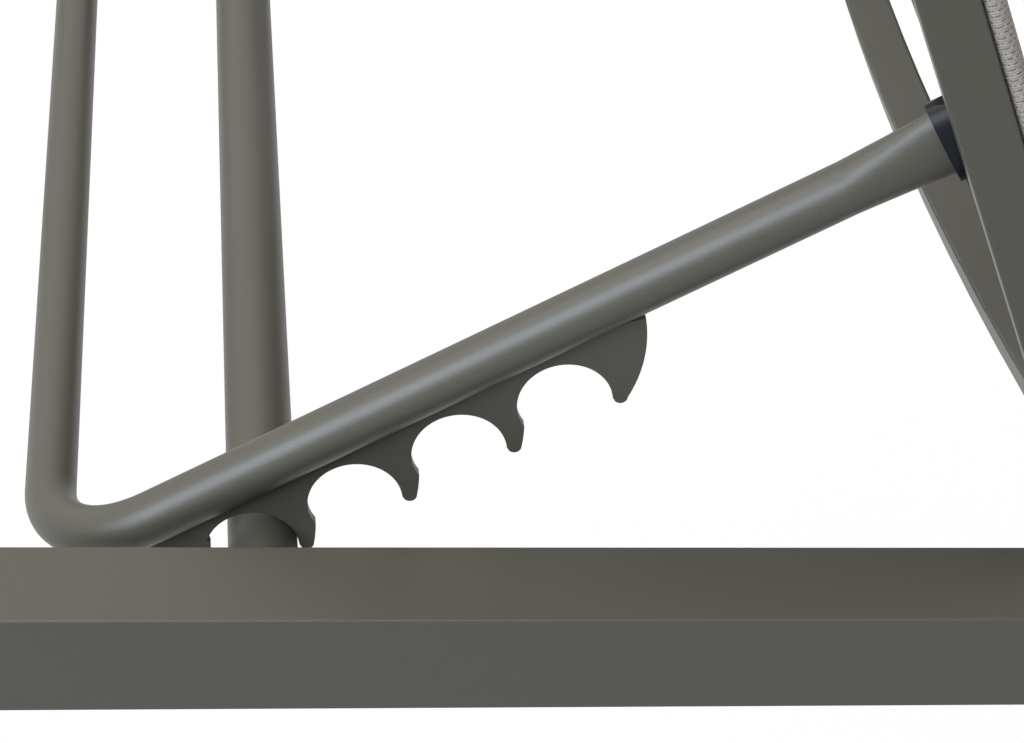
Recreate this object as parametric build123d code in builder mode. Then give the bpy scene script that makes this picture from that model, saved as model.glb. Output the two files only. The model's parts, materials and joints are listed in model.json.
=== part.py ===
from build123d import *
import os
from math import asin, atan2, cos, degrees, radians, sin

os.makedirs("parts", exist_ok=True)

# Sun lounger with a canopy: a welded tube frame on four legs, a fixed seat
# sling, a backrest that a toothed prop holds up, and a canopy that tilts.
# Millimetres. +X is the foot end, +Z is up, the sitter's right is -Y.
# The origin is on the floor, under the middle of the frame.

# Main frame
overall_length = 1950.0
inner_width = 600.0
deck_height = 330.0
rail_size = 40.0
rail_wall = 2.0
rail_corner = 0.8
tube_wall = 1.5
rest_bar_from_head = 479.5
rest_bar_diameter = 25.0

# Legs and the plastic glides in their feet
frame_overhang = 180.0
glide_height = 10.0
glide_spigot = 24.0
glide_corner = 2.5
glide_chamfer = 2.0
fit_clearance = 0.3

# Sling frames: seat and backrest share these sections
sling_rail_width = 15.0
sling_rail_depth = 20.0
sling_rail_wall = 1.5
sling_rail_corner = 1.0
spreader_size = 18.0
spreader_corner = 1.2
spreader_bow = 16.2
sling_thickness = 8.0
sling_edge_inset = 1.0
sling_edge_rounding = 3.0
sling_sag = 6.0

# Seat
seat_rail_start = 362.5
seat_sling_margin = 8.0
seat_end_spreader_inset = 35.0
seat_middle_share = 0.5

# Backrest, measured along its rails from the hinge
hinge_from_rest_bar = 307.7
hinge_drop = 10.0
backrest_angle = 66.6
backrest_reach = 735.0
backrest_overhang = 12.0
backrest_side_gap = 2.0
lower_spreader_from_hinge = 58.6
upper_spreader_inset = 30.0
backrest_sling_start = 16.0
backrest_sling_margin = 6.0
rail_plug_lip = 3.0
rail_plug_depth = 15.0

# Bolts
running_clearance = 0.1
hinge_bolt_diameter = 8.0
hinge_head_diameter = 16.0
hinge_head_height = 5.0
hinge_nut_diameter = 14.0
hinge_nut_height = 6.5
hinge_tail = 2.0
head_rounding = 1.5
washer_diameter = 18.0
pivot_bolt_diameter = 6.0
pivot_head_diameter = 12.0
pivot_head_height = 4.0
pivot_bolt_grip = 4.5

# Prop: a U-shaped tube with a toothed rack under each arm
prop_tube_diameter = 19.0
prop_pivot_from_hinge = 184.0
prop_arm_inset = 27.2
prop_seat_distance = 30.3
prop_reach = 365.0
prop_bend_radius = 44.0
arm_flare_start = 49.0
arm_flare_end = 14.0
arm_end_height = 25.5
arm_end_thickness = 13.0
arm_end_stop = 5.0
end_cap_height = 32.0
end_cap_length = 22.6

# Rack under the prop arm
rack_thickness = 4.0
notch_count = 4
notch_pitch = 42.0
notch_radius = 16.9
notch_depth = 30.1
notch_offset = 4.1
tine_width = 5.0
tine_lift = 3.0
tine_bulge = 1.3
cusp_rise = 4.5
rack_left = 48.0
nose_radius = 3.5
nose_reach = 2.0
nose_lift = 1.5
fin_bulge = 2.7
fin_lean = 3.2

# Canopy
canopy_pivot_below_top = 85.0
canopy_pivot_rise = 38.0
canopy_tube_diameter = 19.0
canopy_cross_diameter = 18.0
canopy_stem = 60.0
canopy_stem_angle = 100.0
canopy_bow_radius = 300.0
canopy_bow_angle = 115.0
canopy_visor = 120.0
canopy_front_setback = 4.0
canopy_cloth_lead_angle = 38.0
canopy_middle_angle = 84.0
canopy_cloth_thickness = 2.5
canopy_hem_thickness = 3.2
canopy_end_height = 25.0
canopy_end_thickness = 11.0
canopy_flat_reach = 22.0
canopy_flare_reach = 50.0
bracket_thickness = 4.0
bracket_length = 60.0
bracket_width = 18.0
bracket_ear_radius = 14.0
bracket_screw_spacing = 40.0
bracket_screw_diameter = 4.0
bracket_screw_head = 8.0
bracket_screw_head_height = 2.2
bracket_screw_grip = 6.0
clamp_bolt_diameter = 8.0
clamp_head_diameter = 15.0
clamp_head_height = 5.0
clamp_disc_diameter = 34.0
clamp_disc_thickness = 5.0
knob_diameter = 40.0
knob_height = 18.0
knob_lobes = 6
knob_lobe_radius = 5.0
knob_bore_depth = 13.0
knob_rounding = 2.0

# Places worked out from the sizes above
half_length = overall_length / 2
half_inner = inner_width / 2
half_outer = half_inner + rail_size
rail_y = half_inner + rail_size / 2
rail_z = deck_height - rail_size / 2
rest_bar_x = rest_bar_from_head - half_length
rest_bar_z = rail_z
hinge_x = rest_bar_x + hinge_from_rest_bar
hinge_z = deck_height - hinge_drop
seat_x = rest_bar_x + seat_rail_start
seat_z = deck_height - sling_rail_depth / 2
seat_length = half_length - rail_size - seat_x
seat_rail_y = half_inner - sling_rail_width / 2
back_rail_y = seat_rail_y - backrest_side_gap
sides = {"right": -1, "left": 1}

along = Vector(-cos(radians(backrest_angle)), 0, sin(radians(backrest_angle)))
front = Vector(sin(radians(backrest_angle)), 0, cos(radians(backrest_angle)))
hinge = Vector(hinge_x, 0, hinge_z)
rest_bar = Vector(rest_bar_x, 0, rest_bar_z)

# The prop's pivot is on the backrest rail. Its arm passes the rest bar at
# prop_seat_distance, which sets the arm's slope.
prop_pivot = hinge + along * prop_pivot_from_hinge
pivot_to_bar = rest_bar - prop_pivot
arm_slope = atan2(-pivot_to_bar.Z, -pivot_to_bar.X) - asin(prop_seat_distance / pivot_to_bar.length)
toward_bend = Vector(-cos(arm_slope), 0, -sin(arm_slope))
prop_arm_y = half_inner - prop_arm_inset
prop_radius = prop_tube_diameter / 2
bar_on_arm = (pivot_to_bar.length**2 - prop_seat_distance**2) ** 0.5

# The canopy's pivot stands in front of the backrest rail, near its top.
canopy_pivot_reach = backrest_reach - canopy_pivot_below_top
canopy_pivot = hinge + along * canopy_pivot_reach + front * canopy_pivot_rise
canopy_radius = canopy_tube_diameter / 2
cross_radius = canopy_cross_diameter / 2
back_outer_face = back_rail_y + sling_rail_width / 2
bracket_face = back_outer_face + bracket_thickness
disc_face = bracket_face + clamp_disc_thickness + fit_clearance
canopy_arm_y = disc_face + canopy_end_thickness / 2
knob_face = canopy_arm_y + canopy_end_thickness / 2 + fit_clearance


def seat_section(distance):
    """Plane across the seat, facing the foot end."""
    return Plane(origin=(seat_x + distance, 0, seat_z), x_dir=(0, 1, 0), z_dir=(1, 0, 0))


def back_section(distance):
    """Plane across the backrest, facing its top."""
    return Plane(origin=hinge + along * distance, x_dir=(0, -1, 0), z_dir=along)


def side_plane(point, y=0.0):
    """Upright lengthwise plane through a point: local x is X, local y is Z."""
    return Plane(origin=(point.X, y, point.Z), x_dir=(1, 0, 0), z_dir=(0, -1, 0))


def keep(piece, name):
    """Label a finished piece and write it."""
    piece.part.label = name
    export_step(piece.part, f"parts/{name}.step")


# Side rails, head rail and foot rail: square tube, mitred at the corners
for side, sign in sides.items():
    with BuildPart() as side_rail:
        with BuildSketch(Plane.YZ.offset(-half_length)):
            with Locations((sign * rail_y, rail_z)):
                RectangleRounded(rail_size, rail_size, rail_corner)
                bore = rail_size - 2 * rail_wall
                Rectangle(bore, bore, mode=Mode.SUBTRACT)
        extrude(amount=overall_length)
        for end in (-1, 1):
            corner = (end * half_length, sign * half_outer, 0)
            split(bisect_by=Plane(origin=corner, z_dir=(-end, sign, 0)), keep=Keep.TOP)
        with BuildSketch(side_plane(hinge)):
            Circle(hinge_bolt_diameter / 2 + running_clearance)
        extrude(amount=half_outer, both=True, mode=Mode.SUBTRACT)
    keep(side_rail, f"side_rail_{side}")

for end_name, end in {"head": -1, "foot": 1}.items():
    with BuildPart() as end_rail:
        with BuildSketch(Plane.XZ.offset(-half_outer)):
            with Locations((end * (half_length - rail_size / 2), rail_z)):
                RectangleRounded(rail_size, rail_size, rail_corner)
                bore = rail_size - 2 * rail_wall
                Rectangle(bore, bore, mode=Mode.SUBTRACT)
        extrude(amount=2 * half_outer)
        for sign in sides.values():
            corner = (end * half_length, sign * half_outer, 0)
            split(bisect_by=Plane(origin=corner, z_dir=(end, -sign, 0)), keep=Keep.TOP)
    keep(end_rail, f"{end_name}_rail")

# Rest bar that the prop's rack hooks over
with BuildPart() as prop_rest_bar:
    with BuildSketch(side_plane(rest_bar)):
        Circle(rest_bar_diameter / 2)
        Circle(rest_bar_diameter / 2 - tube_wall, mode=Mode.SUBTRACT)
    extrude(amount=half_inner, both=True)
keep(prop_rest_bar, "prop_rest_bar")

# Legs, with a plastic glide in each
leg_height = deck_height - rail_size - glide_height
for end_name, end in {"head": -1, "foot": 1}.items():
    for side, sign in sides.items():
        leg_place = (end * (half_length - frame_overhang), sign * rail_y)
        with BuildPart() as leg:
            with BuildSketch(Plane.XY.offset(glide_height)):
                with Locations(leg_place):
                    RectangleRounded(rail_size, rail_size, rail_corner)
                    bore = rail_size - 2 * rail_wall
                    Rectangle(bore, bore, mode=Mode.SUBTRACT)
            extrude(amount=leg_height)
        keep(leg, f"leg_{end_name}_{side}")

        with BuildPart() as glide:
            with BuildSketch():
                with Locations(leg_place):
                    RectangleRounded(rail_size, rail_size, glide_corner)
            extrude(amount=glide_height)
            chamfer(glide.faces().sort_by(Axis.Z)[0].edges(), glide_chamfer)
            with BuildSketch(Plane.XY.offset(glide_height)):
                with Locations(leg_place):
                    plug = rail_size - 2 * rail_wall - fit_clearance
                    Rectangle(plug, plug)
            extrude(amount=glide_spigot)
        keep(glide, f"glide_{end_name}_{side}")


def sling_rail_tube(plane, across, length):
    """A sling frame's side rail: a flat tube along the plane's normal."""
    with BuildPart() as tube:
        with BuildSketch(plane):
            with Locations((across, 0)):
                RectangleRounded(sling_rail_width, sling_rail_depth, sling_rail_corner)
                Rectangle(
                    sling_rail_width - 2 * sling_rail_wall,
                    sling_rail_depth - 2 * sling_rail_wall,
                    mode=Mode.SUBTRACT,
                )
        extrude(amount=length)
    return tube


def spreader_tube(plane, half_span):
    """A square tube across a sling frame, bowed away from the sling."""
    with BuildPart() as bar:
        for size, mode in ((spreader_size, Mode.ADD), (spreader_size - 2 * tube_wall, Mode.SUBTRACT)):
            with BuildSketch(plane):
                with BuildLine():
                    for edge in (-size / 2, size / 2):
                        ThreePointArc((-half_span, edge), (0, edge - spreader_bow), (half_span, edge))
                    for end in (-half_span, half_span):
                        Line((end, -size / 2), (end, size / 2))
                make_face()
            extrude(amount=size / 2, both=True, mode=mode)
            if mode == Mode.ADD:
                fillet(bar.edges().filter_by(GeomType.CIRCLE), spreader_corner)
    return bar


def sling_pad(plane, half_width, rail_inner, length):
    """Woven sling over both rails: rolled edges, a shallow sag between them."""
    seat_face = sling_rail_depth / 2
    top_face = seat_face + sling_thickness
    with BuildPart() as pad:
        with BuildSketch(plane) as outline:
            with BuildLine():
                Polyline((-rail_inner, seat_face), (-half_width, seat_face), (-half_width, top_face))
                Line((-half_width, top_face), (-rail_inner, top_face))
                ThreePointArc((-rail_inner, top_face), (0, top_face - sling_sag), (rail_inner, top_face))
                Polyline((rail_inner, top_face), (half_width, top_face), (half_width, seat_face))
                Line((half_width, seat_face), (rail_inner, seat_face))
                ThreePointArc((rail_inner, seat_face), (0, seat_face - sling_sag), (-rail_inner, seat_face))
            make_face()
            for rolled_edge in (0, -1):
                fillet(outline.vertices().group_by(Axis.X)[rolled_edge], sling_edge_rounding)
        extrude(amount=length)
    return pad


# Seat frame and sling
for side, sign in sides.items():
    seat_rail = sling_rail_tube(seat_section(0), sign * seat_rail_y, seat_length)
    keep(seat_rail, f"seat_rail_{side}")

seat_spreaders = {
    "rear": seat_end_spreader_inset,
    "middle": seat_length * seat_middle_share,
    "front": seat_length - seat_end_spreader_inset,
}
for place, distance in seat_spreaders.items():
    seat_spreader = spreader_tube(seat_section(distance), half_inner - sling_rail_width)
    keep(seat_spreader, f"seat_spreader_{place}")

seat_sling = sling_pad(
    seat_section(seat_sling_margin),
    half_inner - sling_edge_inset,
    half_inner - sling_rail_width,
    seat_length - 2 * seat_sling_margin,
)
keep(seat_sling, "seat_sling")

# Backrest rails: holed for the hinge bolt, the prop's pivot bolt and the
# canopy bracket's screws
back_inner_face = back_rail_y - sling_rail_width / 2
bracket_screws = [
    hinge + along * (canopy_pivot_reach + shift)
    for shift in (-bracket_screw_spacing / 2, bracket_screw_spacing / 2)
]
for side, sign in sides.items():
    rail_tube = sling_rail_tube(
        back_section(-backrest_overhang), -sign * back_rail_y, backrest_reach + backrest_overhang
    )
    with BuildPart() as back_rail:
        add(rail_tube.part)
        with BuildSketch(side_plane(hinge)):
            Circle(hinge_bolt_diameter / 2 + running_clearance)
        extrude(amount=half_outer, both=True, mode=Mode.SUBTRACT)
        with BuildSketch(side_plane(prop_pivot, sign * (back_inner_face + sling_rail_wall / 2))):
            Circle(pivot_bolt_diameter / 2 + running_clearance)
        extrude(amount=sling_rail_wall, both=True, mode=Mode.SUBTRACT)
        for screw in bracket_screws:
            with BuildSketch(side_plane(screw, sign * back_outer_face)):
                Circle(bracket_screw_diameter / 2 + running_clearance)
            extrude(amount=2 * sling_rail_wall, both=True, mode=Mode.SUBTRACT)
    keep(back_rail, f"backrest_rail_{side}")

back_spreaders = {
    "lower": lower_spreader_from_hinge,
    "upper": backrest_reach - upper_spreader_inset,
}
for place, distance in back_spreaders.items():
    back_spreader = spreader_tube(back_section(distance), back_inner_face)
    keep(back_spreader, f"backrest_spreader_{place}")

backrest_sling = sling_pad(
    back_section(backrest_sling_start),
    back_outer_face - sling_edge_inset,
    back_inner_face,
    backrest_reach - backrest_sling_start - backrest_sling_margin,
)
keep(backrest_sling, "backrest_sling")

# Plastic plugs in the backrest rails' top ends
for side, sign in sides.items():
    with BuildPart() as rail_plug:
        with BuildSketch(back_section(backrest_reach)):
            with Locations((-sign * back_rail_y, 0)):
                RectangleRounded(sling_rail_width, sling_rail_depth, sling_rail_corner)
        extrude(amount=rail_plug_lip)
        chamfer(rail_plug.faces().sort_by(Axis(hinge, along))[-1].edges(), rail_plug_lip / 4)
        with BuildSketch(back_section(backrest_reach)):
            with Locations((-sign * back_rail_y, 0)):
                Rectangle(
                    sling_rail_width - 2 * sling_rail_wall - fit_clearance,
                    sling_rail_depth - 2 * sling_rail_wall - fit_clearance,
                )
        extrude(amount=-rail_plug_depth)
    keep(rail_plug, f"backrest_plug_{side}")

# Hinge bolts with their nuts, and the washers that space the rails apart
for side, sign in sides.items():
    with BuildPart() as hinge_bolt:
        with BuildSketch(side_plane(hinge, sign * half_outer)):
            Circle(hinge_head_diameter / 2)
        extrude(amount=-sign * hinge_head_height)
        fillet(hinge_bolt.faces().sort_by(Axis.Y)[min(0, -sign)].edges(), head_rounding)
        nut_face = back_inner_face - running_clearance
        shank_length = half_outer - nut_face + hinge_nut_height + hinge_tail
        with BuildSketch(side_plane(hinge, sign * half_outer)):
            Circle(hinge_bolt_diameter / 2)
        extrude(amount=sign * shank_length)
        with BuildSketch(side_plane(hinge, sign * nut_face)):
            RegularPolygon(hinge_nut_diameter / 2, 6)
            Circle(hinge_bolt_diameter / 2 + running_clearance, mode=Mode.SUBTRACT)
        extrude(amount=sign * hinge_nut_height)
    keep(hinge_bolt, f"hinge_bolt_{side}")

    with BuildPart() as hinge_washer:
        with BuildSketch(side_plane(hinge, sign * (half_inner - running_clearance))):
            Circle(washer_diameter / 2)
            Circle(hinge_bolt_diameter / 2 + running_clearance, mode=Mode.SUBTRACT)
        extrude(amount=sign * (backrest_side_gap - 2 * running_clearance))
    keep(hinge_washer, f"hinge_washer_{side}")

# Prop bar: one tube bent into a U, its ends pressed flat for the pivots
prop_frame = Plane(origin=prop_pivot, x_dir=toward_bend, z_dir=(-toward_bend).cross(Vector(0, 1, 0)))


def prop_section(distance, y):
    """Plane across a prop arm, at a distance from the pivot."""
    place = prop_pivot + toward_bend * distance
    return Plane(origin=(place.X, y, place.Z), x_dir=(0, 1, 0), z_dir=toward_bend)


with BuildPart() as prop_bar:
    with BuildLine(prop_frame) as prop_path:
        FilletPolyline(
            (arm_flare_start, -prop_arm_y),
            (prop_reach, -prop_arm_y),
            (prop_reach, prop_arm_y),
            (arm_flare_start, prop_arm_y),
            radius=prop_bend_radius,
        )
    path_start = Plane(origin=prop_path.line @ 0, z_dir=prop_path.line % 0)
    with BuildSketch(path_start):
        Circle(prop_radius)
        Circle(prop_radius - tube_wall, mode=Mode.SUBTRACT)
    sweep(path=prop_path.line)
    for sign in sides.values():
        with BuildSketch(prop_section(arm_flare_start, sign * prop_arm_y)):
            Circle(prop_radius)
        with BuildSketch(prop_section(arm_flare_end, sign * prop_arm_y)):
            Ellipse(arm_end_thickness / 2, arm_end_height / 2)
        loft()
        with BuildSketch(prop_section(arm_flare_end, sign * prop_arm_y)):
            Ellipse(arm_end_thickness / 2, arm_end_height / 2)
        extrude(amount=-arm_flare_end - arm_end_stop)
    with BuildSketch(side_plane(prop_pivot)):
        Circle(pivot_bolt_diameter / 2 + running_clearance)
    extrude(amount=half_inner, both=True, mode=Mode.SUBTRACT)
keep(prop_bar, "prop_bar")

# Racks: plates welded under the prop arms. The notches open straight down
# when the backrest stands at its highest lock, so they step down the arm.
step_x = notch_pitch * cos(arm_slope)
step_z = notch_pitch * sin(arm_slope)
first_notch = prop_pivot + toward_bend * (bar_on_arm + notch_offset)
first_notch = first_notch + Vector(sin(arm_slope), 0, -cos(arm_slope)) * notch_depth


def on_rack(reach, depth):
    """Point of the rack's outline from its place along and below the arm."""
    lift = notch_depth - depth
    x = reach * cos(arm_slope) - lift * sin(arm_slope)
    z = reach * sin(arm_slope) + lift * cos(arm_slope)
    return (x, z)


for side, sign in sides.items():
    with BuildPart() as rack:
        with BuildSketch(side_plane(first_notch, sign * prop_arm_y)):
            last = notch_count - 1
            tine_foot = notch_radius + tine_width
            tip = notch_radius + tine_width / 2
            nose_x = -notch_radius - nose_radius + nose_reach
            Polygon(
                on_rack(-rack_left, 0),
                on_rack(0, 0),
                (0, 0),
                (nose_x, nose_lift - nose_radius),
                align=None,
            )
            cusp = (step_x - (notch_radius**2 - cusp_rise**2) ** 0.5, step_z + cusp_rise)
            bulge_x = (tine_foot + cusp[0]) / 2 + tine_bulge
            for notch in range(last):
                with BuildLine():
                    here = Vector(notch * step_x, notch * step_z)
                    side_foot = here + Vector(tine_foot, tine_lift)
                    side_middle = here + Vector(bulge_x, (tine_lift + cusp[1]) / 2)
                    side_top = here + Vector(*cusp)
                    ThreePointArc(side_foot, side_middle, side_top)
                    Polyline(
                        side_top,
                        here + Vector(step_x, step_z),
                        on_rack((notch + 1) * notch_pitch, 0),
                        on_rack(notch * notch_pitch, 0),
                        here,
                        side_foot,
                    )
                make_face()
            with BuildLine():
                fin = Vector(last * step_x, last * step_z)
                fin_top = on_rack(last * notch_pitch, 0)
                fin_side = fin + Vector(tine_foot, tine_lift)
                fin_end = Vector(fin_side.X + fin_lean, fin_top[1] + step_z / 2)
                fin_middle = (fin_side + fin_end) / 2 + Vector(fin_bulge, 0)
                Polyline(fin_end, fin_top, fin, fin_side)
                ThreePointArc(fin_side, fin_middle, fin_end)
            make_face()
            for notch in range(notch_count):
                with Locations((notch * step_x + tip, notch * step_z + tine_lift)):
                    Circle(tine_width / 2)
            for notch in range(notch_count):
                with Locations((notch * step_x, notch * step_z)):
                    Circle(notch_radius, mode=Mode.SUBTRACT)
            with Locations((nose_x, nose_lift)):
                Circle(nose_radius)
        extrude(amount=rack_thickness / 2, both=True)
        with BuildSketch(path_start):
            Circle(prop_radius)
        sweep(path=prop_path.line, mode=Mode.SUBTRACT)
        keep_side = Plane(origin=prop_pivot, x_dir=(0, 1, 0), z_dir=prop_frame.z_dir)
        split(bisect_by=keep_side, keep=Keep.BOTTOM)
    keep(rack, f"prop_rack_{side}")

# Plastic caps over the flat arm ends, rounded off towards the sling
for side, sign in sides.items():
    cap_half_thickness = back_inner_face - fit_clearance - prop_arm_y
    with BuildPart() as end_cap:
        with BuildSketch(prop_section(arm_flare_end, sign * prop_arm_y)):
            Ellipse(cap_half_thickness, end_cap_height / 2)
        extrude(amount=-end_cap_length)
        with BuildSketch(side_plane(prop_pivot + toward_bend * arm_flare_end, sign * prop_arm_y)):
            Ellipse(end_cap_length, end_cap_height / 2, rotation=degrees(arm_slope))
        extrude(amount=2 * cap_half_thickness, both=True, mode=Mode.INTERSECT)
        with BuildSketch(prop_section(arm_flare_end, sign * prop_arm_y)):
            Ellipse(arm_end_thickness / 2 + running_clearance, arm_end_height / 2 + running_clearance)
        extrude(amount=-arm_flare_end - arm_end_stop - running_clearance, mode=Mode.SUBTRACT)
        with BuildSketch(side_plane(prop_pivot)):
            Circle(pivot_bolt_diameter / 2 + running_clearance)
        extrude(amount=half_inner, both=True, mode=Mode.SUBTRACT)
    keep(end_cap, f"prop_end_cap_{side}")

    cap_inner_face = prop_arm_y - cap_half_thickness
    with BuildPart() as pivot_bolt:
        with BuildSketch(side_plane(prop_pivot, sign * (cap_inner_face - fit_clearance))):
            Circle(pivot_head_diameter / 2)
        extrude(amount=sign * pivot_head_height)
        fillet(pivot_bolt.faces().sort_by(Axis.Y)[min(0, sign)].edges(), head_rounding)
        with BuildSketch(side_plane(prop_pivot, sign * (cap_inner_face - fit_clearance))):
            Circle(pivot_bolt_diameter / 2)
        extrude(amount=-sign * (back_inner_face - cap_inner_face + fit_clearance + pivot_bolt_grip))
    keep(pivot_bolt, f"prop_pivot_bolt_{side}")

# Canopy brackets: ear plates on the outer faces of the backrest rails
for side, sign in sides.items():
    with BuildPart() as bracket:
        with BuildSketch(
            Plane(
                origin=canopy_pivot + Vector(0, sign * back_outer_face, 0),
                x_dir=-along,
                z_dir=(0, -1, 0),
            )
        ):
            with Locations((0, -canopy_pivot_rise)):
                Rectangle(bracket_length, bracket_width)
            Circle(bracket_ear_radius)
            make_hull()
            Circle(clamp_bolt_diameter / 2 + running_clearance, mode=Mode.SUBTRACT)
            for shift in (-bracket_screw_spacing / 2, bracket_screw_spacing / 2):
                with Locations((shift, -canopy_pivot_rise)):
                    Circle(bracket_screw_diameter / 2 + running_clearance, mode=Mode.SUBTRACT)
        extrude(amount=-sign * bracket_thickness)
    keep(bracket, f"canopy_bracket_{side}")

    with BuildPart() as screws:
        for screw in bracket_screws:
            with BuildSketch(side_plane(screw, sign * bracket_face)):
                Circle(bracket_screw_head / 2)
            extrude(amount=-sign * bracket_screw_head_height)
            with BuildSketch(side_plane(screw, sign * bracket_face)):
                Circle(bracket_screw_diameter / 2)
            extrude(amount=sign * (bracket_thickness + bracket_screw_grip))
    keep(screws, f"bracket_screws_{side}")

# Clamp joint: bolt through bracket, disc and arm, with a knob on its end
for side, sign in sides.items():
    head_face = back_outer_face - running_clearance
    with BuildPart() as clamp_bolt:
        with BuildSketch(side_plane(canopy_pivot, sign * head_face)):
            Circle(clamp_head_diameter / 2)
        extrude(amount=sign * clamp_head_height)
        fillet(clamp_bolt.faces().sort_by(Axis.Y)[min(0, sign)].edges(), head_rounding)
        with BuildSketch(side_plane(canopy_pivot, sign * head_face)):
            Circle(clamp_bolt_diameter / 2)
        extrude(amount=-sign * (knob_face + knob_bore_depth - running_clearance - head_face))
    keep(clamp_bolt, f"clamp_bolt_{side}")

    with BuildPart() as clamp_disc:
        with BuildSketch(side_plane(canopy_pivot, sign * (bracket_face + fit_clearance))):
            Circle(clamp_disc_diameter / 2)
            Circle(clamp_bolt_diameter / 2 + running_clearance, mode=Mode.SUBTRACT)
        extrude(amount=-sign * clamp_disc_thickness)
    keep(clamp_disc, f"clamp_disc_{side}")

    with BuildPart() as knob:
        with BuildSketch(side_plane(canopy_pivot, sign * knob_face)):
            Circle(knob_diameter / 2 - knob_lobe_radius)
            with PolarLocations(knob_diameter / 2 - knob_lobe_radius, knob_lobes):
                Circle(knob_lobe_radius)
        extrude(amount=-sign * knob_height)
        fillet(knob.faces().sort_by(Axis.Y)[min(0, -sign)].edges(), knob_rounding)
        with BuildSketch(side_plane(canopy_pivot, sign * knob_face)):
            Circle(clamp_bolt_diameter / 2 + running_clearance)
        extrude(amount=-sign * knob_bore_depth, mode=Mode.SUBTRACT)
    keep(knob, f"canopy_knob_{side}")

# Canopy arms: a stem, a long bow over the head and a straight visor part
stem_rise = radians(canopy_stem_angle)
stem_way = Vector(cos(stem_rise), 0, sin(stem_rise))
stem_end = canopy_pivot + stem_way * canopy_stem
bow_centre = stem_end + Vector(sin(stem_rise), 0, -cos(stem_rise)) * canopy_bow_radius


def bow_point(turn, offset=0.0):
    """Point on the canopy's side curve after a turn, or offset outward from it."""
    outward = stem_rise + radians(90 - turn)
    return bow_centre + Vector(cos(outward), 0, sin(outward)) * (canopy_bow_radius + offset)


bow_end = bow_point(canopy_bow_angle)
visor_rise = stem_rise - radians(canopy_bow_angle)
visor_way = Vector(cos(visor_rise), 0, sin(visor_rise))
visor_out = Vector(-sin(visor_rise), 0, cos(visor_rise))
visor_end = bow_end + visor_way * canopy_visor


def canopy_arm(sign, radius):
    """A canopy arm's bent tube, solid to the given radius."""
    shift = Vector(0, sign * canopy_arm_y, 0)
    flare = canopy_pivot + stem_way * canopy_flare_reach + shift
    with BuildPart() as arm:
        with BuildLine() as arm_path:
            Line(flare, stem_end + shift)
            ThreePointArc(stem_end + shift, bow_point(canopy_bow_angle / 2) + shift, bow_end + shift)
            Line(bow_end + shift, visor_end + shift)
        with BuildSketch(Plane(origin=flare, x_dir=(0, 1, 0), z_dir=stem_way)):
            Circle(radius)
        sweep(path=arm_path.line)
    return arm.part


for side, sign in sides.items():
    shift = Vector(0, sign * canopy_arm_y, 0)
    flare = canopy_pivot + stem_way * canopy_flare_reach + shift
    press = canopy_pivot + stem_way * canopy_flat_reach + shift
    arm_outside = canopy_arm(sign, canopy_radius)
    arm_inside = canopy_arm(sign, canopy_radius - tube_wall)
    with BuildPart() as arm:
        add(arm_outside)
        add(arm_inside, mode=Mode.SUBTRACT)
        with BuildSketch(Plane(origin=flare, x_dir=(0, 1, 0), z_dir=stem_way)):
            Circle(canopy_radius)
        with BuildSketch(Plane(origin=press, x_dir=(0, 1, 0), z_dir=stem_way)):
            SlotOverall(canopy_end_height, canopy_end_thickness, rotation=90)
        loft()
        with BuildSketch(side_plane(canopy_pivot, sign * canopy_arm_y)):
            Circle(canopy_end_height / 2)
        extrude(amount=canopy_end_thickness / 2, both=True)
        with BuildSketch(Plane(origin=press, x_dir=(0, 1, 0), z_dir=stem_way)):
            SlotOverall(canopy_end_height, canopy_end_thickness, rotation=90)
        extrude(amount=-canopy_flat_reach)
        with BuildSketch(side_plane(canopy_pivot)):
            Circle(clamp_bolt_diameter / 2 + running_clearance)
        extrude(amount=2 * half_outer, both=True, mode=Mode.SUBTRACT)
    keep(arm, f"canopy_arm_{side}")

# Cross tubes between the canopy arms, shaped to sit against them
canopy_crossings = {
    "rear": bow_point(canopy_cloth_lead_angle),
    "middle": bow_point(canopy_middle_angle),
    "front": visor_end - visor_way * (canopy_radius + canopy_front_setback),
}
for place, point in canopy_crossings.items():
    with BuildPart() as cross_tube:
        with BuildSketch(side_plane(point)):
            Circle(cross_radius)
            Circle(cross_radius - tube_wall, mode=Mode.SUBTRACT)
        extrude(amount=canopy_arm_y, both=True)
        for sign in sides.values():
            add(canopy_arm(sign, canopy_radius), mode=Mode.SUBTRACT)
    keep(cross_tube, f"canopy_cross_tube_{place}")

# Plastic plugs in the canopy arms' front ends
for side, sign in sides.items():
    with BuildPart() as arm_plug:
        plug_origin = visor_end + Vector(0, sign * canopy_arm_y, 0)
        with BuildSketch(Plane(origin=plug_origin, x_dir=(0, 1, 0), z_dir=visor_way)):
            Circle(canopy_radius)
        extrude(amount=rail_plug_lip)
        fillet(arm_plug.faces().sort_by(Axis.X)[-1].edges(), rail_plug_lip / 2)
        with BuildSketch(Plane(origin=plug_origin, x_dir=(0, 1, 0), z_dir=visor_way)):
            Circle(canopy_radius - tube_wall - fit_clearance / 2)
        extrude(amount=-rail_plug_depth)
    keep(arm_plug, f"canopy_plug_{side}")

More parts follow.
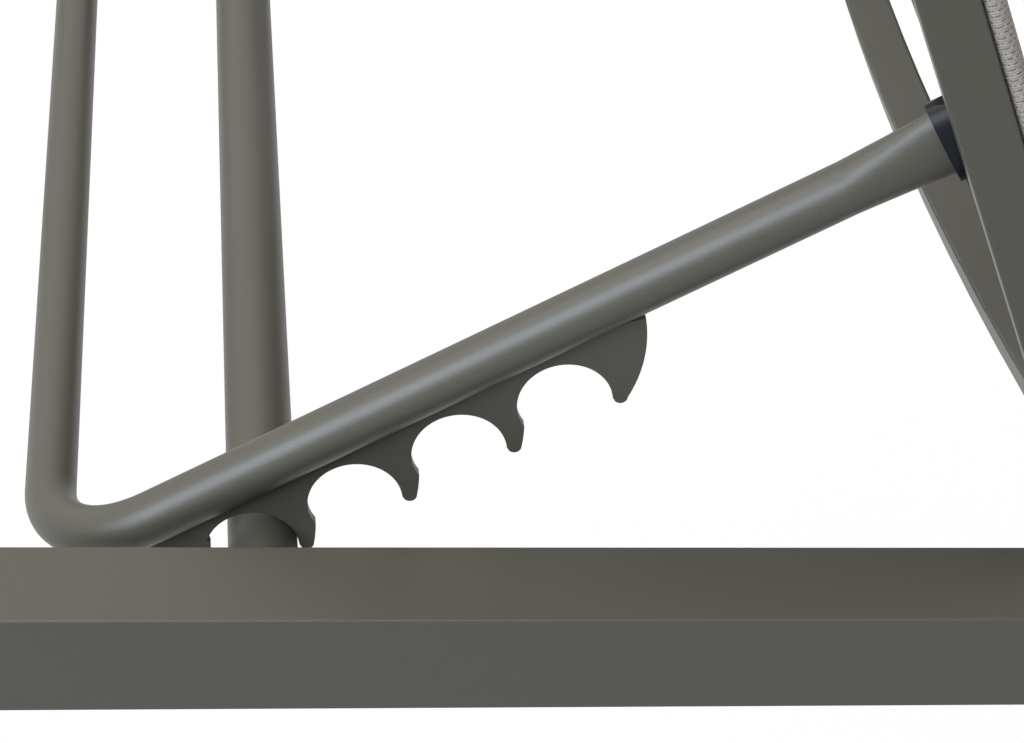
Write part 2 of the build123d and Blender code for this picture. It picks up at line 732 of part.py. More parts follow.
# Canopy cloth: lies over the arms, with a sleeve round the rear and front tubes
cloth_gap = canopy_radius + fit_clearance
cloth_outer = cloth_gap + canopy_cloth_thickness
with BuildPart() as canopy_cloth:
    with BuildSketch(Plane.XZ):
        with BuildLine():
            lead = canopy_cloth_lead_angle
            middle_turn = (canopy_cloth_lead_angle + canopy_bow_angle) / 2
            outer_start = bow_point(lead, cloth_outer)
            outer_bow_end = bow_point(canopy_bow_angle, cloth_outer)
            inner_start = bow_point(lead, cloth_gap)
            inner_bow_end = bow_point(canopy_bow_angle, cloth_gap)
            outer_middle = bow_point(middle_turn, cloth_outer)
            inner_middle = bow_point(middle_turn, cloth_gap)
            outer_front = canopy_crossings["front"] + visor_out * cloth_outer
            inner_front = canopy_crossings["front"] + visor_out * cloth_gap
            ThreePointArc(*[(p.X, p.Z) for p in (outer_start, outer_middle, outer_bow_end)])
            ThreePointArc(*[(p.X, p.Z) for p in (inner_start, inner_middle, inner_bow_end)])
            Polyline(*[(p.X, p.Z) for p in (outer_bow_end, outer_front, inner_front, inner_bow_end)])
            Line((outer_start.X, outer_start.Z), (inner_start.X, inner_start.Z))
        make_face()
    extrude(amount=canopy_arm_y + canopy_radius, both=True)
    sleeve_half_length = canopy_arm_y - canopy_radius - fit_clearance
    for place in ("rear", "front"):
        with BuildSketch(side_plane(canopy_crossings[place])):
            Circle(cloth_gap + canopy_hem_thickness)
        extrude(amount=sleeve_half_length, both=True)
        with BuildSketch(side_plane(canopy_crossings[place])):
            Circle(cross_radius + fit_clearance)
        extrude(amount=canopy_arm_y, both=True, mode=Mode.SUBTRACT)
keep(canopy_cloth, "canopy_cloth")
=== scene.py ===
import json
import math

import bmesh
import bpy
from mathutils import Matrix, Vector, noise


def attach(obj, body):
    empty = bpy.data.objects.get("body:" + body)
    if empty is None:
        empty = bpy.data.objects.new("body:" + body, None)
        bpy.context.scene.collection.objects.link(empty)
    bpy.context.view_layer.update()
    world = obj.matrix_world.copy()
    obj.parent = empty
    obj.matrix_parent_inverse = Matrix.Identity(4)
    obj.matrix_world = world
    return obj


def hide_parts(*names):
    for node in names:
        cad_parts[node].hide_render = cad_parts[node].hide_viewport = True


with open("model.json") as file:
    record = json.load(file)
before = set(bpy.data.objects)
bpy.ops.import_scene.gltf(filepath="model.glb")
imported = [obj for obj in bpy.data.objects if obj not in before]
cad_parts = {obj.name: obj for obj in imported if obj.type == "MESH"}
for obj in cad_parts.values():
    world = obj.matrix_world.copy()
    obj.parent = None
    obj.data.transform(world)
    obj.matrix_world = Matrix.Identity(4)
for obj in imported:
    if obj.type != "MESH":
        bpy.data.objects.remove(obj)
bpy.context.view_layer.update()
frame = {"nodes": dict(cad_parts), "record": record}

print("frame loaded")

# the ways that the seat and the backrest lie at rest, and the point that the backrest turns on
acrossWay = Vector((0, 1, 0))
seatWay, seatUp = Vector((1, 0, 0)), Vector((0, 0, 1))
leanAngle = math.radians(66.6)
backWay = Vector((-math.cos(leanAngle), 0, math.sin(leanAngle)))
backUp = Vector((math.sin(leanAngle), 0, math.cos(leanAngle)))
hinge = Vector((-0.1878, 0, 0.320))

camera = {
    "place": (-0.5323, -1.1331, 1.0035),
    "right": (0.9934792, -0.0883413, 0.0720756),
    "up": (-0.0070035, 0.5836884, 0.8119476),
    "lens": 107.84,
    "sensor": 36.0,
    "near": 0.05,
    "far": 60,
}
lens = bpy.data.cameras.new("viewLens")
lens.lens, lens.sensor_width = camera["lens"], camera["sensor"]
lens.clip_start, lens.clip_end = camera["near"], camera["far"]
view = bpy.data.objects.new("view", lens)
right, up = Vector(camera["right"]), Vector(camera["up"])
turn = Matrix((right, up, right.cross(up))).transposed().to_4x4()
view.matrix_world = Matrix.Translation(camera["place"]) @ turn
bpy.context.scene.collection.objects.link(view)
bpy.context.scene.camera = view


class Value:
    # a node's output; sums, products and quotients with it add Math nodes
    def __init__(self, shader, socket):
        self.shader, self.socket = shader, socket

    def maths(self, operation, first, second=0.0):
        return self.shader.node("ShaderNodeMath", {"operation": operation}, {0: first, 1: second})

    def __add__(self, other):
        return self.maths("ADD", self, other)

    def __radd__(self, other):
        return self.maths("ADD", other, self)

    def __sub__(self, other):
        return self.maths("SUBTRACT", self, other)

    def __rsub__(self, other):
        return self.maths("SUBTRACT", other, self)

    def __mul__(self, other):
        return self.maths("MULTIPLY", self, other)

    def __rmul__(self, other):
        return self.maths("MULTIPLY", other, self)

    def __truediv__(self, other):
        return self.maths("DIVIDE", self, other)

    def __rtruediv__(self, other):
        return self.maths("DIVIDE", other, self)

    def floor(self):
        return self.maths("FLOOR", self)

    def fraction(self):
        return self.maths("FRACT", self)

    def size(self):
        return self.maths("ABSOLUTE", self)

    def larger(self, other):
        return self.maths("MAXIMUM", self, other)

    def output(self, name):
        return Value(self.shader, self.socket.node.outputs[name])


class Shader:
    # one node tree: a material's, or the world's
    def __init__(self, owner):
        owner.use_nodes = True
        self.owner, self.tree = owner, owner.node_tree
        self.tree.nodes.clear()

    def node(self, kind, settings=None, sockets=None):
        made = self.tree.nodes.new(kind)
        for name, value in (settings or {}).items():
            if name == "stops":
                while len(made.color_ramp.elements) < len(value):
                    made.color_ramp.elements.new(0.5)
                for element, (position, colour) in zip(made.color_ramp.elements, value):
                    element.position, element.color = position, colour
            else:
                setattr(made, name, value)
        for name, value in (sockets or {}).items():
            if isinstance(value, Value):
                self.tree.links.new(value.socket, made.inputs[name])
            else:
                made.inputs[name].default_value = value
        return Value(self, made.outputs[0]) if made.outputs else made

    def ramp(self, value, low, high, start=0.0, end=1.0):
        # smooth step from start to end while value goes from low to high
        return self.node(
            "ShaderNodeMapRange", {"interpolation_type": "SMOOTHSTEP"},
            {0: value, 1: low, 2: high, 3: start, 4: end},
        )

    def mix(self, share, first, second, blend="MIX"):
        settings = {"data_type": "RGBA", "blend_type": blend}
        colour = self.node("ShaderNodeMix", settings, {0: share, 6: first, 7: second})
        return colour.output(2)

    def noise(self, place, scale, detail):
        return self.node("ShaderNodeTexNoise", {}, {"Vector": place, "Scale": scale, "Detail": detail})

    def bump(self, height, distance, strength):
        sockets = {"Height": height, "Distance": distance, "Strength": strength}
        return self.node("ShaderNodeBump", {}, sockets)

    def surface(self, sockets):
        made = self.node("ShaderNodeBsdfPrincipled", {}, sockets)
        self.node("ShaderNodeOutputMaterial", {}, {"Surface": made})
        return self.owner


def shaderFor(name):
    return Shader(bpy.data.materials.new(name))


def rgb(red, green, blue):
    return (red, green, blue, 1.0)


def shaded(colour, factor):
    return rgb(*[factor * part for part in colour])


studio = {
    "white": rgb(1, 1, 1),
    "worldLight": 0.13,
    "worldColour": rgb(0.96, 0.98, 1.0),
    "floorShow": 0.93,   # share of the floor's look that is plain white
    "floorGlow": 1.05,
    "floorColour": rgb(0.45, 0.45, 0.44),
    "floorSize": 40.0,
    "lamps": {
        "window": {
            "place": (-2.15, -1.75, 1.95), "aim": (-0.35, -0.15, 0.35),
            "size": 2.1, "power": 108, "colour": (0.76, 0.87, 1.0),
        },
        "ceiling": {
            "place": (-1.3, 0.3, 2.9), "aim": (-0.45, -0.1, 0.3),
            "size": 2.2, "power": 43, "colour": (1.0, 0.95, 0.84),
        },
        "garden": {
            "place": (3.1, 1.1, 2.6), "aim": (0.1, 0, 0.4),
            "size": 2.0, "power": 75, "colour": (1.0, 0.97, 0.93),
        },
    },
}


def seenRays(shader):
    # one for what the camera, a glossy surface or glass sees
    rays = shader.node("ShaderNodeLightPath")
    seen = rays.output("Is Camera Ray").larger(rays.output("Is Glossy Ray"))
    return seen.larger(rays.output("Is Transmission Ray"))


world = bpy.data.worlds.new("studio")
bpy.context.scene.world = world
shader = Shader(world)
lightSockets = {"Color": studio["worldColour"], "Strength": studio["worldLight"]}
lit = shader.node("ShaderNodeBackground", {}, lightSockets)
shown = shader.node("ShaderNodeBackground", {}, {"Color": studio["white"], "Strength": 1.0})
both = shader.node("ShaderNodeMixShader", {}, {0: seenRays(shader), 1: lit, 2: shown})
shader.node("ShaderNodeOutputWorld", {}, {"Surface": both})

for name, lamp in studio["lamps"].items():
    light = bpy.data.lights.new(name, "AREA")
    light.shape, light.size = "DISK", lamp["size"]
    light.energy, light.color = lamp["power"], lamp["colour"]
    holder = bpy.data.objects.new(name, light)
    holder.location = lamp["place"]
    shineWay = Vector(lamp["aim"]) - Vector(lamp["place"])
    holder.rotation_euler = shineWay.to_track_quat("-Z", "Y").to_euler()
    bpy.context.scene.collection.objects.link(holder)

shader = shaderFor("paleFloor")
matt = shader.node("ShaderNodeBsdfDiffuse", {}, {"Color": studio["floorColour"]})
glowSockets = {"Color": studio["white"], "Strength": studio["floorGlow"]}
glow = shader.node("ShaderNodeEmission", {}, glowSockets)
share = seenRays(shader) * studio["floorShow"]
look = shader.node("ShaderNodeMixShader", {}, {0: share, 1: matt, 2: glow})
shader.node("ShaderNodeOutputMaterial", {}, {"Surface": look})
paleFloor = shader.owner


def finish(name, bm, material, modifiers=()):
    # mesh from a bmesh, smooth, at the origin
    bmesh.ops.recalc_face_normals(bm, faces=bm.faces)
    mesh = bpy.data.meshes.new(name)
    bm.to_mesh(mesh)
    bm.free()
    mesh.polygons.foreach_set("use_smooth", [True] * len(mesh.polygons))
    mesh.materials.append(material)
    made = bpy.data.objects.new(name, mesh)
    bpy.context.scene.collection.objects.link(made)
    for kind, settings in modifiers:
        added = made.modifiers.new(kind.lower(), kind)
        for key, value in settings.items():
            setattr(added, key, value)
    return made


bm = bmesh.new()
bmesh.ops.create_grid(bm, x_segments=1, y_segments=1, size=studio["floorSize"] / 2)
floor = finish("floor", bm, paleFloor)
print("camera, light and floor made")

# in the finishes, grain, peel, cloud and the like are noise scales per metre
powderCoat = {
    "colour": (0.077, 0.069, 0.053), "lighter": 1.2, "darker": 0.86, "specular": 0.46,
    "grain": 1900.0, "grainSteps": (0.35, 0.68), "peel": 420.0,
    "cloud": 9.0, "cloudSteps": (0.3, 0.7), "cloudShares": (0.35, 0.75),
    "rough": 0.43, "roughGrain": 0.1, "roughCloud": 0.06,
    "bumpGrain": 0.55, "bumpPeel": 0.45, "bump": 0.00003, "bumpStrength": 0.5,
}
shader = shaderFor("powderCoat")
place = shader.node("ShaderNodeTexCoord").output("Object")
grain = shader.noise(place, powderCoat["grain"], 1.0)
peel = shader.noise(place, powderCoat["peel"], 2.0)
cloud = shader.noise(place, powderCoat["cloud"], 3.0)
lighter = shaded(powderCoat["colour"], powderCoat["lighter"])
darker = shaded(powderCoat["colour"], powderCoat["darker"])
colour = shader.mix(shader.ramp(grain, *powderCoat["grainSteps"]), darker, lighter)
evened = shader.ramp(cloud, *powderCoat["cloudSteps"], *powderCoat["cloudShares"])
rough = powderCoat["rough"] + powderCoat["roughGrain"] * (grain - 0.5)
height = grain * powderCoat["bumpGrain"] + peel * powderCoat["bumpPeel"]
frameCoat = shader.surface({
    "Base Color": shader.mix(evened, colour, rgb(*powderCoat["colour"])),
    "Specular IOR Level": powderCoat["specular"],
    "Roughness": rough + powderCoat["roughCloud"] * (cloud - 0.5),
    "Normal": shader.bump(height, powderCoat["bump"], powderCoat["bumpStrength"]),
})

capPlastic = {
    "dark": rgb(0.004, 0.005, 0.007), "light": rgb(0.008, 0.010, 0.013), "specular": 0.18,
    "grain": 2600.0, "cloud": 60.0, "rough": 0.3, "roughCloud": 0.12,
    "bump": 0.00002, "bumpStrength": 0.5,
}
shader = shaderFor("blackPlastic")
place = shader.node("ShaderNodeTexCoord").output("Object")
grain = shader.noise(place, capPlastic["grain"], 1.0)
cloud = shader.noise(place, capPlastic["cloud"], 2.0)
blackPlastic = shader.surface({
    "Base Color": shader.mix(cloud, capPlastic["dark"], capPlastic["light"]),
    "Specular IOR Level": capPlastic["specular"],
    "Roughness": capPlastic["rough"] + capPlastic["roughCloud"] * (cloud - 0.5),
    "Normal": shader.bump(grain, capPlastic["bump"], capPlastic["bumpStrength"]),
})

boltSteel = {
    "dark": rgb(0.30, 0.30, 0.29), "light": rgb(0.46, 0.46, 0.45),
    "brush": 3000.0, "brushStretch": (1.0, 0.08, 1.0), "rough": 0.3, "roughBrush": 0.16,
    "bump": 0.00001, "bumpStrength": 0.4,
}
shader = shaderFor("satinSteel")
place = shader.node("ShaderNodeTexCoord").output("Object")
stretched = shader.node("ShaderNodeMapping", {}, {"Vector": place, "Scale": boltSteel["brushStretch"]})
brush = shader.noise(stretched, boltSteel["brush"], 3.0)
satinSteel = shader.surface({
    "Base Color": shader.mix(brush, boltSteel["dark"], boltSteel["light"]),
    "Metallic": 1.0,
    "Roughness": boltSteel["rough"] + boltSteel["roughBrush"] * (brush - 0.5),
    "Normal": shader.bump(brush, boltSteel["bump"], boltSteel["bumpStrength"]),
})

# across and along are one gap's pitch in metres; dash and line are where a gap fades out
cloths = {
    "slingWeave": {
        "across": 0.0029, "along": 0.0021, "rowShift": 0.5,
        "light": (0.47, 0.41, 0.36), "dark": (0.25, 0.215, 0.185),
        "dash": (0.16, 0.40), "line": (0.06, 0.30), "depth": 0.0003,
    },
    "canopyWeave": {
        "across": 0.0016, "along": 0.0011, "rowShift": 0.5,
        "light": (0.46, 0.41, 0.365), "dark": (0.28, 0.245, 0.215),
        "dash": (0.18, 0.40), "line": (0.08, 0.32), "depth": 0.00016,
    },
}
yarns = {
    "wander": 190.0, "rowWander": 0.5, "columnWander": 0.4,
    "fluff": 900.0, "fluffSteps": (0.3, 0.7), "fluffHeight": 0.15, "shade": 0.84,
    "patch": 120.0, "patchSteps": (0.3, 0.65), "patchShares": (0.55, 1.0),
    "cloud": 6.0, "tones": [(0.3, rgb(0.94, 0.93, 0.92)), (0.7, rgb(1, 1, 1))],
    "grooveSteps": (0.30, 0.5), "grooveShares": (1.0, 0.55),
    "rough": 0.8, "roughFluff": 0.1, "specular": 0.3, "sheen": 0.1, "sheenRough": 0.4,
    "bumpStrength": 0.8,
}


def weave(name, spec):
    # staggered rows of dark gaps between light yarns, laid out on the UV map in metres
    shader = shaderFor(name)
    spread = shader.node("ShaderNodeTexCoord").output("UV")
    parts = shader.node("ShaderNodeSeparateXYZ", {}, {0: spread})
    wander = shader.noise(spread, yarns["wander"], 2.0) - 0.5
    rows = parts.output("Y") / spec["along"] + wander * yarns["rowWander"]
    shift = (rows.floor() * spec["rowShift"]).fraction()
    columns = parts.output("X") / spec["across"] + shift + wander * yarns["columnWander"]
    fromDash = (columns.fraction() - 0.5).size()
    fromLine = (rows.fraction() - 0.5).size()
    gap = shader.ramp(fromDash, *spec["dash"], 1.0, 0.0) * shader.ramp(fromLine, *spec["line"], 1.0, 0.0)
    fluff = shader.noise(spread, yarns["fluff"], 2.0)
    patch = shader.noise(spread, yarns["patch"], 2.0)
    cloud = shader.noise(spread, yarns["cloud"], 3.0)
    shade = shaded(spec["light"], yarns["shade"])
    colour = shader.mix(shader.ramp(fluff, *yarns["fluffSteps"]), shade, rgb(*spec["light"]))
    darkened = gap * shader.ramp(patch, *yarns["patchSteps"], *yarns["patchShares"])
    colour = shader.mix(darkened, colour, rgb(*spec["dark"]))
    tone = shader.node("ShaderNodeValToRGB", {"stops": yarns["tones"]}, {0: cloud})
    groove = shader.ramp(fromLine, *yarns["grooveSteps"], *yarns["grooveShares"])
    height = (1.0 - gap) * groove + fluff * yarns["fluffHeight"]
    return shader.surface({
        "Base Color": shader.mix(1.0, colour, tone, "MULTIPLY"),
        "Specular IOR Level": yarns["specular"],
        "Roughness": yarns["rough"] + yarns["roughFluff"] * (fluff - 0.5),
        "Sheen Weight": yarns["sheen"],
        "Sheen Roughness": yarns["sheenRough"],
        "Normal": shader.bump(height, spec["depth"], yarns["bumpStrength"]),
    })


slingWeave = weave("slingWeave", cloths["slingWeave"])
canopyWeave = weave("canopyWeave", cloths["canopyWeave"])

thread = {
    "length": 0.0031, "pitch": 0.0046, "thick": 0.00075, "sink": 0.0001,
    "dark": rgb(0.34, 0.32, 0.29), "light": rgb(0.54, 0.51, 0.46),
    "twist": 1500.0, "rough": 0.6, "roughTwist": 0.1, "bump": 0.00005, "bumpStrength": 0.5,
}
shader = shaderFor("sewingThread")
place = shader.node("ShaderNodeTexCoord").output("Object")
twist = shader.noise(place, thread["twist"], 2.0)
sewingThread = shader.surface({
    "Base Color": shader.mix(twist, thread["dark"], thread["light"]),
    "Roughness": thread["rough"] + thread["roughTwist"] * (twist - 0.5),
    "Normal": shader.bump(twist, thread["bump"], thread["bumpStrength"]),
})

materialOf = {
    "frame_coat": frameCoat,
    "black_plastic": blackPlastic,
    "fasteners": satinSteel,
    "sling_weave": slingWeave,
    "canopy_fabric": canopyWeave,
}
for row in frame["record"]["subparts"]:
    node = frame["nodes"][row["node"]]
    node.data.materials.clear()
    node.data.materials.append(materialOf[row["material_slot"]])
print("materials made")


def stitchLine(points, normals):
    # one row of small stitches at an even pitch along a line that lies on the cloth
    bm = bmesh.new()
    travelled, due = 0.0, thread["pitch"] / 2
    for first, second, normal in zip(points, points[1:], normals):
        run = second - first
        way = run.normalized()
        side = normal.cross(way).normalized()
        out = way.cross(side)
        while due <= travelled + run.length:
            middle = first + way * (due - travelled) - out * thread["sink"]
            basis = Matrix((way * thread["length"], side * thread["thick"], out * thread["thick"]))
            place = Matrix.Translation(middle) @ basis.transposed().to_4x4()
            bmesh.ops.create_uvsphere(bm, u_segments=6, v_segments=4, radius=0.5, matrix=place)
            due += thread["pitch"]
        travelled += run.length
    mesh = bpy.data.meshes.new("stitchLine")
    bm.to_mesh(mesh)
    bm.free()
    return mesh


def sewn(name, lines, body):
    bm = bmesh.new()
    for points, normals in lines:
        mesh = stitchLine(points, normals)
        bm.from_mesh(mesh)
        bpy.data.meshes.remove(mesh)
    seam = finish(name, bm, sewingThread)
    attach(seam, body)


def wave(across, distance, spec):
    # slow noise over a cloth; spec has its scales each way and its seed
    return noise.noise(Vector((across * spec[0], distance * spec[1], spec[2])))


# each sling is a padded weave over both rails, of the seat and of the backrest
slings = {
    "seatPad": {
        "start": Vector((-0.125, 0, 0.330)), "way": seatWay, "up": seatUp,
        "halfWidth": 0.299, "railInner": 0.285, "length": 1.052, "rows": 110,
        "node": "seat_sling", "body": "frame",
    },
    "backPad": {
        "start": hinge + backWay * 0.016 + backUp * 0.010, "way": backWay, "up": backUp,
        "halfWidth": 0.297, "railInner": 0.283, "length": 0.713, "rows": 76,
        "node": "backrest_sling", "body": "backrest",
    },
}
padding = {
    "thickness": 0.008, "rounding": 0.0035, "roundSteps": 4, "sag": 0.006, "columns": 62,
    "sideSeam": 0.0165, "endSeam": 0.020, "groove": 0.0014, "grooveWidth": 0.0028,
    "seamCuts": 3, "seamStep": 0.0012, "seamPoints": 90, "longEdge": 0.4,
    "ripple": 0.0007, "waves": (9, 6, 3.7), "fineWaves": (55, 55, 1.3), "fineShare": 0.3,
    "fineReach": 4,   # the fine ripple is full over all but the strip beside the rails
}


def slingLift(spec, across, distance, share):
    # how far a point of the flat pad moves up; share is 0 on its underside and 1 on top
    inside = max(0.0, 1 - (across / spec["railInner"]) ** 2)
    fromSide = spec["halfWidth"] - abs(across) - padding["sideSeam"]
    fromEnd = min(distance, spec["length"] - distance) - padding["endSeam"]
    fromSeam = min(fromSide, fromEnd)
    groove = padding["groove"] * math.exp(-((fromSeam / padding["grooveWidth"]) ** 2))
    fine = padding["fineShare"] * min(1.0, inside * padding["fineReach"])
    ripple = wave(across, distance, padding["waves"]) * inside
    ripple += wave(across, distance, padding["fineWaves"]) * fine
    return -padding["sag"] * inside + (ripple * padding["ripple"] - groove) * share


def seamSteps(count, half, seam):
    # even steps from -half to half, with closer ones beside the two seams
    cuts, step = padding["seamCuts"], padding["seamStep"]
    middle = half - seam
    close = [side * (middle + number * step) for side in (-1, 1) for number in range(-cuts, cuts + 1)]
    inner, outer = middle - (cuts + 1) * step, middle + (cuts + 1) * step
    gaps = count - len(close) - 3   # between the even steps, beside two outer ones
    even = [-inner + 2 * inner * number / gaps for number in range(gaps + 1)]
    return sorted(close + even + [-outer, outer])


def evenCuts(bm, axis, places):
    # cuts the long edges along one axis and moves the cuts to their places
    long = []
    for edge in bm.edges:
        if abs((edge.verts[0].co - edge.verts[1].co)[axis]) > padding["longEdge"]:
            long.append(edge)
    ends = sorted(long[0].verts, key=lambda vert: vert.co[axis])
    low, high = ends[0].co[axis], ends[1].co[axis]
    bmesh.ops.subdivide_edges(bm, edges=long, cuts=len(places), use_grid_fill=True)
    step = (high - low) / (len(places) + 1)
    for vert in bm.verts:
        number = round((vert.co[axis] - low) / step)
        if 0 < number <= len(places):
            vert.co[axis] = places[number - 1]


def slingPad(name, spec):
    thick, half, length = padding["thickness"], spec["halfWidth"], spec["length"]
    rounding = padding["rounding"]
    bm = bmesh.new()
    bmesh.ops.create_cube(bm, size=1.0)
    bmesh.ops.scale(bm, vec=(2 * half, length, thick), verts=bm.verts)
    bmesh.ops.bevel(
        bm, geom=bm.edges[:], offset=rounding, segments=padding["roundSteps"], profile=0.5,
        affect="EDGES", material=-1,
    )
    evenCuts(bm, 0, seamSteps(padding["columns"], half, padding["sideSeam"]))
    evenCuts(bm, 1, seamSteps(spec["rows"], length / 2, padding["endSeam"]))
    bmesh.ops.translate(bm, vec=(0, length / 2, thick / 2), verts=bm.verts)

    # the weave runs on round each side, so its UV map goes on by the height passed
    uvLayer = bm.loops.layers.uv.new("weave")
    for face in bm.faces:
        below = face.calc_center_median().z < rounding / 2
        for loop in face.loops:
            across, distance, height = loop.vert.co
            wrap = height if below else thick - height
            beyond = math.copysign(wrap, across) if abs(across) > spec["railInner"] else 0.0
            loop[uvLayer].uv = (across + beyond, distance)

    def placed(across, distance, height):
        flat = spec["start"] + spec["way"] * distance + acrossWay * across
        return flat + spec["up"] * height

    for vert in bm.verts:
        across, distance, height = vert.co
        lift = slingLift(spec, across, distance, height / thick)
        vert.co = placed(across, distance, height + lift)
    pad = finish(name, bm, slingWeave)
    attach(pad, spec["body"])
    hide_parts(spec["node"])

    def onTop(across, distance):
        return placed(across, distance, thick + slingLift(spec, across, distance, 1.0))

    side, end, steps = half - padding["sideSeam"], padding["endSeam"], padding["seamPoints"]
    lines = []
    for across in (-side, side):
        line = [onTop(across, end + (length - 2 * end) * step / steps) for step in range(steps + 1)]
        lines.append((line, [spec["up"]] * steps))
    for distance in (end, length - end):
        line = [onTop(-side + 2 * side * step / steps, distance) for step in range(steps + 1)]
        lines.append((line, [spec["up"]] * steps))
    sewn(name + "Stitches", lines, spec["body"])


for name, spec in slings.items():
    slingPad(name, spec)
print("slings made")

# the canopy cloth is one sheet over the arms, sewn round the rear and front tubes
hood = {
    "pivot": Vector((-0.411071, 0, 0.931632)),
    "stemAngle": 100.0, "stem": 0.060, "bowRadius": 0.300, "bowAngle": 115.0,
    "leadAngle": 38.0, "middleAngle": 84.0, "visor": 0.1065,
    "armY": 0.3128, "offset": 0.0108, "overArm": 0.0099,
    "edge": 0.3223, "sleeveHalf": 0.3010, "sleeveTurn": 305.0,
    "sag": 0.011, "sagShape": 1.3, "sideShape": 4, "besideArm": 0.004,
    "thickness": 0.0015, "hem": 0.024, "hemRise": 0.0005, "hemStep": 0.0012,
    "ripple": 0.0012, "waves": (7, 9, 0.4), "fineWaves": (3, 40, 5.1), "fineShare": 0.4,
    "columns": 72, "armSteps": (0.35, 0.7), "sleeveRows": 16, "bowRows": 58, "visorRows": 14,
}
rise = math.radians(hood["stemAngle"])
stemEnd = hood["pivot"] + Vector((math.cos(rise), 0, math.sin(rise))) * hood["stem"]
bowCentre = stemEnd + Vector((math.sin(rise), 0, -math.cos(rise))) * hood["bowRadius"]
flatRadius = hood["bowRadius"] + hood["offset"]
bowLength = math.radians(hood["bowAngle"] - hood["leadAngle"]) * flatRadius
middleTube = math.radians(hood["middleAngle"] - hood["leadAngle"]) * flatRadius
panelLength = bowLength + hood["visor"]
sleeveLength = math.radians(hood["sleeveTurn"]) * hood["offset"]


def around(centre, angle, radius):
    return centre + Vector((math.cos(angle), 0, math.sin(angle))) * radius


def hoodPoint(distance):
    # the sheet's middle line seen from the side: its place and its outward way
    startAngle = rise + math.radians(90 - hood["leadAngle"])
    endAngle = rise + math.radians(90 - hood["bowAngle"])
    visorWay = Vector((math.sin(endAngle), 0, -math.cos(endAngle)))
    if distance < 0:
        angle = startAngle - distance / hood["offset"]
        centre = around(bowCentre, startAngle, hood["bowRadius"])
        return around(centre, angle, hood["offset"]), around(Vector(), angle, 1.0)
    if distance <= bowLength:
        angle = startAngle - distance / flatRadius
        return around(bowCentre, angle, flatRadius), around(Vector(), angle, 1.0)
    if distance <= panelLength:
        along = around(bowCentre, endAngle, flatRadius) + visorWay * (distance - bowLength)
        return along, around(Vector(), endAngle, 1.0)
    angle = endAngle - (distance - panelLength) / hood["offset"]
    centre = around(bowCentre, endAngle, hood["bowRadius"]) + visorWay * hood["visor"]
    return around(centre, angle, hood["offset"]), around(Vector(), angle, 1.0)


def hoodSurface(across, distance):
    # the sheet's middle with its sag between the tubes, its ripples and its folded hems
    point, out = hoodPoint(distance)
    lift = 0.0
    if 0 <= distance <= panelLength:
        if distance < middleTube:
            bay = distance / middleTube
        else:
            bay = (distance - middleTube) / (panelLength - middleTube)
        toArm = abs(across) / (hood["armY"] - hood["besideArm"])
        inner = max(0.0, 1 - toArm ** hood["sideShape"])
        quiet = math.sin(math.pi * bay) * inner
        lift -= hood["sag"] * math.sin(math.pi * bay) ** hood["sagShape"] * inner
        lift += wave(across, distance, hood["waves"]) * hood["ripple"] * quiet
        lift += wave(across, distance, hood["fineWaves"]) * hood["ripple"] * hood["fineShare"] * quiet
        over = min(max(0.0, abs(across) - hood["armY"]), hood["overArm"])
        lift -= hood["offset"] - math.sqrt(hood["offset"] ** 2 - over ** 2)
        ends = min(distance, panelLength - distance)
        if abs(across) > hood["edge"] - hood["hem"] or ends < hood["hem"]:
            lift += hood["hemRise"]
    return point + acrossWay * across + out * lift, out


# columns: close at the hems, over the arms and at the sleeves' ends, and even between
inner = hood["edge"] - hood["hem"] - hood["hemStep"]
places = [inner, inner + hood["hemStep"], hood["armY"], hood["edge"], hood["sleeveHalf"]]
places += [hood["armY"] + (hood["edge"] - hood["armY"]) * share for share in hood["armSteps"]]
spread = [side * place for side in (-1, 1) for place in places]
gaps = hood["columns"] + 2 - len(spread)
spread += [-inner + 2 * inner * step / gaps for step in range(1, gaps)]
spread = sorted(set(round(place, 6) for place in spread))

# rows: round the rear tube, over the bow, along the visor and round the front tube
stretches = [
    (-sleeveLength, sleeveLength, hood["sleeveRows"]),
    (0.0, bowLength, hood["bowRows"]),
    (bowLength, hood["visor"], hood["visorRows"]),
    (panelLength, sleeveLength, hood["sleeveRows"]),
]
rows = [start + length * step / count for start, length, count in stretches for step in range(count)]
rows += [panelLength + sleeveLength, hood["hem"], hood["hem"] + hood["hemStep"]]
rows += [panelLength - hood["hem"], panelLength - hood["hem"] - hood["hemStep"]]
rows = sorted(rows)

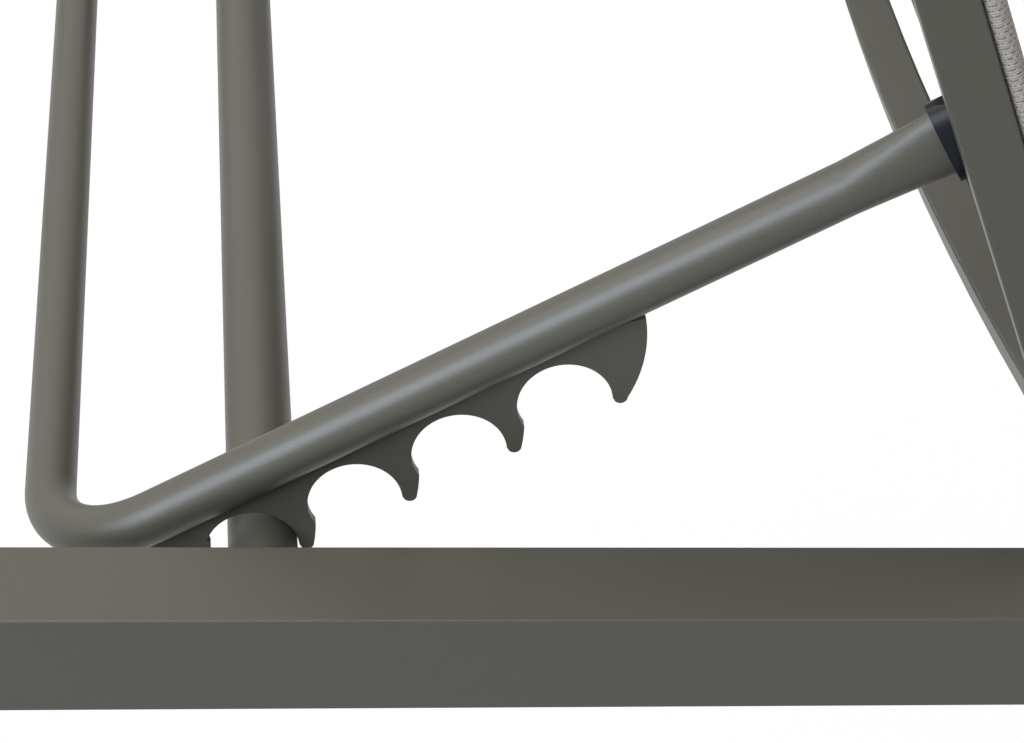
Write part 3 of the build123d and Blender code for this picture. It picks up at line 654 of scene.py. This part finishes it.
bm = bmesh.new()
bmesh.ops.create_grid(bm, x_segments=len(spread) - 1, y_segments=len(rows) - 1, size=0.5)
uvLayer = bm.loops.layers.uv.new("weave")
flatPlace = {}
for vert in bm.verts:
    column = round((vert.co.x + 0.5) * (len(spread) - 1))
    row = round((vert.co.y + 0.5) * (len(rows) - 1))
    flatPlace[vert] = (spread[column], rows[row])
cornersOff = []
for face in bm.faces:
    across = sum(flatPlace[vert][0] for vert in face.verts) / 4
    distance = sum(flatPlace[vert][1] for vert in face.verts) / 4
    if abs(across) > hood["sleeveHalf"] and not 0 < distance < panelLength:
        cornersOff.append(face)
    for loop in face.loops:
        loop[uvLayer].uv = flatPlace[loop.vert]
for vert, (across, distance) in flatPlace.items():
    vert.co = hoodSurface(across, distance)[0]
bmesh.ops.delete(bm, geom=cornersOff, context="FACES")
canopySheet = finish("canopySheet", bm, canopyWeave, [
    ("SOLIDIFY", {"thickness": hood["thickness"], "offset": 0.0, "use_even_offset": True}),
])
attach(canopySheet, "canopy")
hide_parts("canopy_cloth")

hoodSewing = {"inHem": 0.003, "fromEdge": 0.0035, "fromTube": 0.0135, "ends": 0.004, "points": 120}


def hoodLine(places):
    points, normals = [], []
    for across, distance in places:
        point, out = hoodSurface(across, distance)
        points.append(point + out * hood["thickness"] / 2)
        normals.append(out)
    return points, normals[:-1]


def evenly(start, length):
    steps = hoodSewing["points"]
    return [start + length * step / steps for step in range(steps + 1)]


hemLine = hood["edge"] - hood["hem"] + hoodSewing["inHem"]
endLines = [hoodSewing["fromTube"], hood["hem"] - hoodSewing["inHem"]]
endLines += [panelLength - hoodSewing["fromTube"], panelLength - hood["hem"] + hoodSewing["inHem"]]
lines = []
for side in (-1, 1):
    for across in (side * hemLine, side * (hood["edge"] - hoodSewing["fromEdge"])):
        along = evenly(hoodSewing["ends"], panelLength - 2 * hoodSewing["ends"])
        lines.append(hoodLine([(across, distance) for distance in along]))
for distance in endLines:
    lines.append(hoodLine([(across, distance) for across in evenly(-hemLine, 2 * hemLine)]))
sewn("canopyStitches", lines, "canopy")
print("canopy made")

bpy.context.scene.view_settings.view_transform = "Standard"
